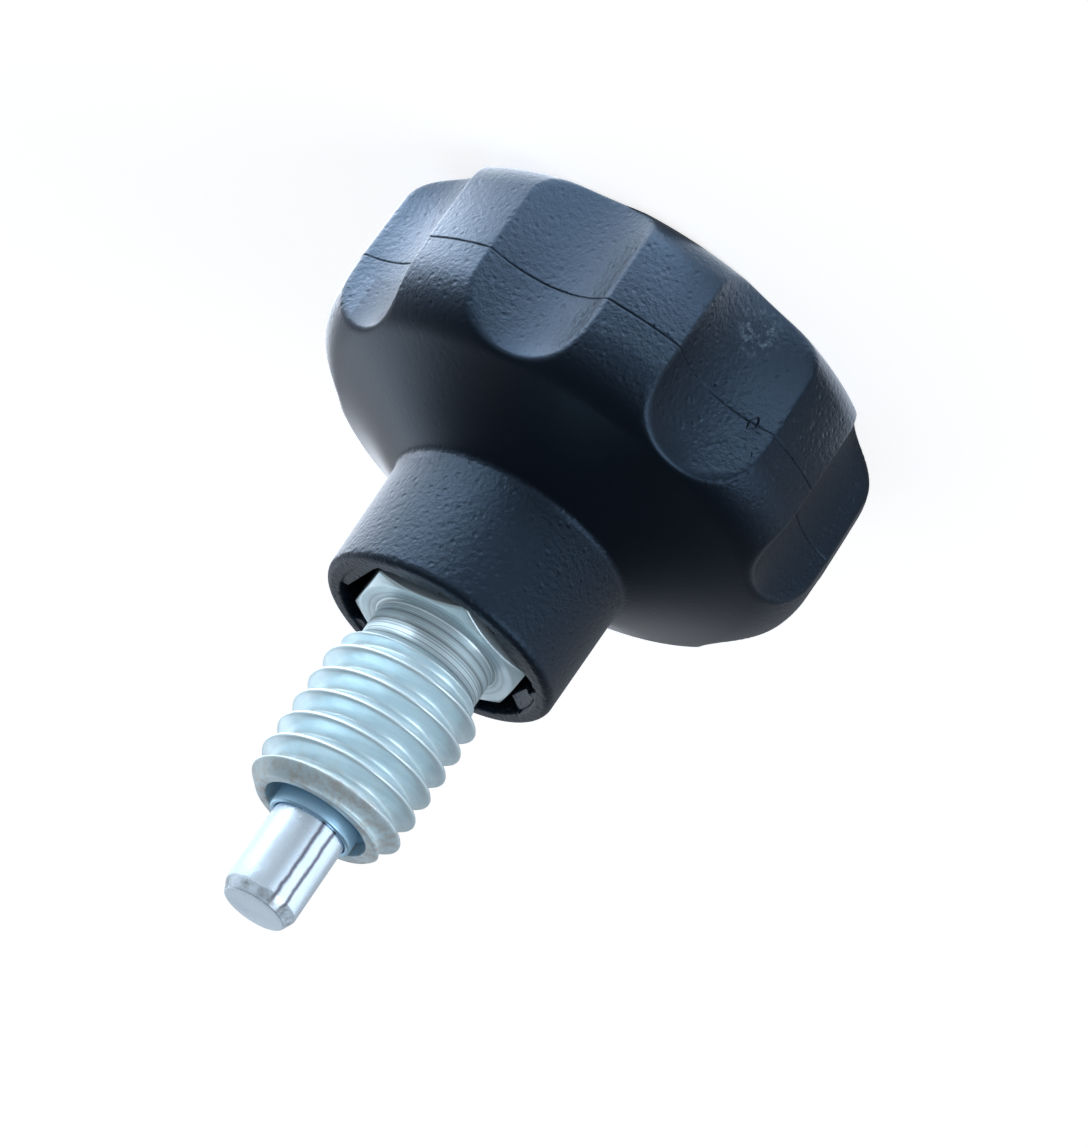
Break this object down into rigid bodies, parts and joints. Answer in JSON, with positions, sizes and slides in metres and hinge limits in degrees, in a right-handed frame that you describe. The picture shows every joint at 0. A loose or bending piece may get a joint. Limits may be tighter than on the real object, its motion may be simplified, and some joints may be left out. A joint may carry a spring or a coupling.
{
  "type": "locking knob",
  "caption": "Spring-loaded locking knob: a scalloped plastic knob draws a steel pin back through a screw-in barrel, and a coil spring pushes it out again.",
  "frame": {"origin": "centre of the knob's flat head, on which the part stands", "axes": "+Z along the pin's axis, from the head towards the pin's tip; +X is 22.5 degrees from the centre of a flute"},
  "size_m": [0.0318, 0.0318, 0.0419],
  "materials": {
    "black_moulded_plastic": "fine pitted mould texture on the head and neck, smoother underside",
    "brass_insert": "turned brass, moulded in",
    "zinc_plated_steel": "bright zinc plate over turned steel and a cut thread",
    "dark_bush_steel": "turned steel, pressed in",
    "ground_steel": "ground and polished",
    "spring_wire": "hard drawn spring wire"
  },
  "bodies": {
    "plunger": {"knob": "black_moulded_plastic", "threaded_insert": "brass_insert", "plunger_pin": "ground_steel", "spring": "spring_wire"},
    "barrel": {"barrel": "zinc_plated_steel", "guide_bush": "dark_bush_steel"}
  },
  "joints": [
    {"name": "pull", "type": "slide", "parent": "plunger", "child": "barrel", "axis": [0, 0, 1], "range_m": [0, 0.00635], "stiffness_N_per_m": 1200, "springref_m": -0.004, "deforming": ["spring"]}
  ]
}
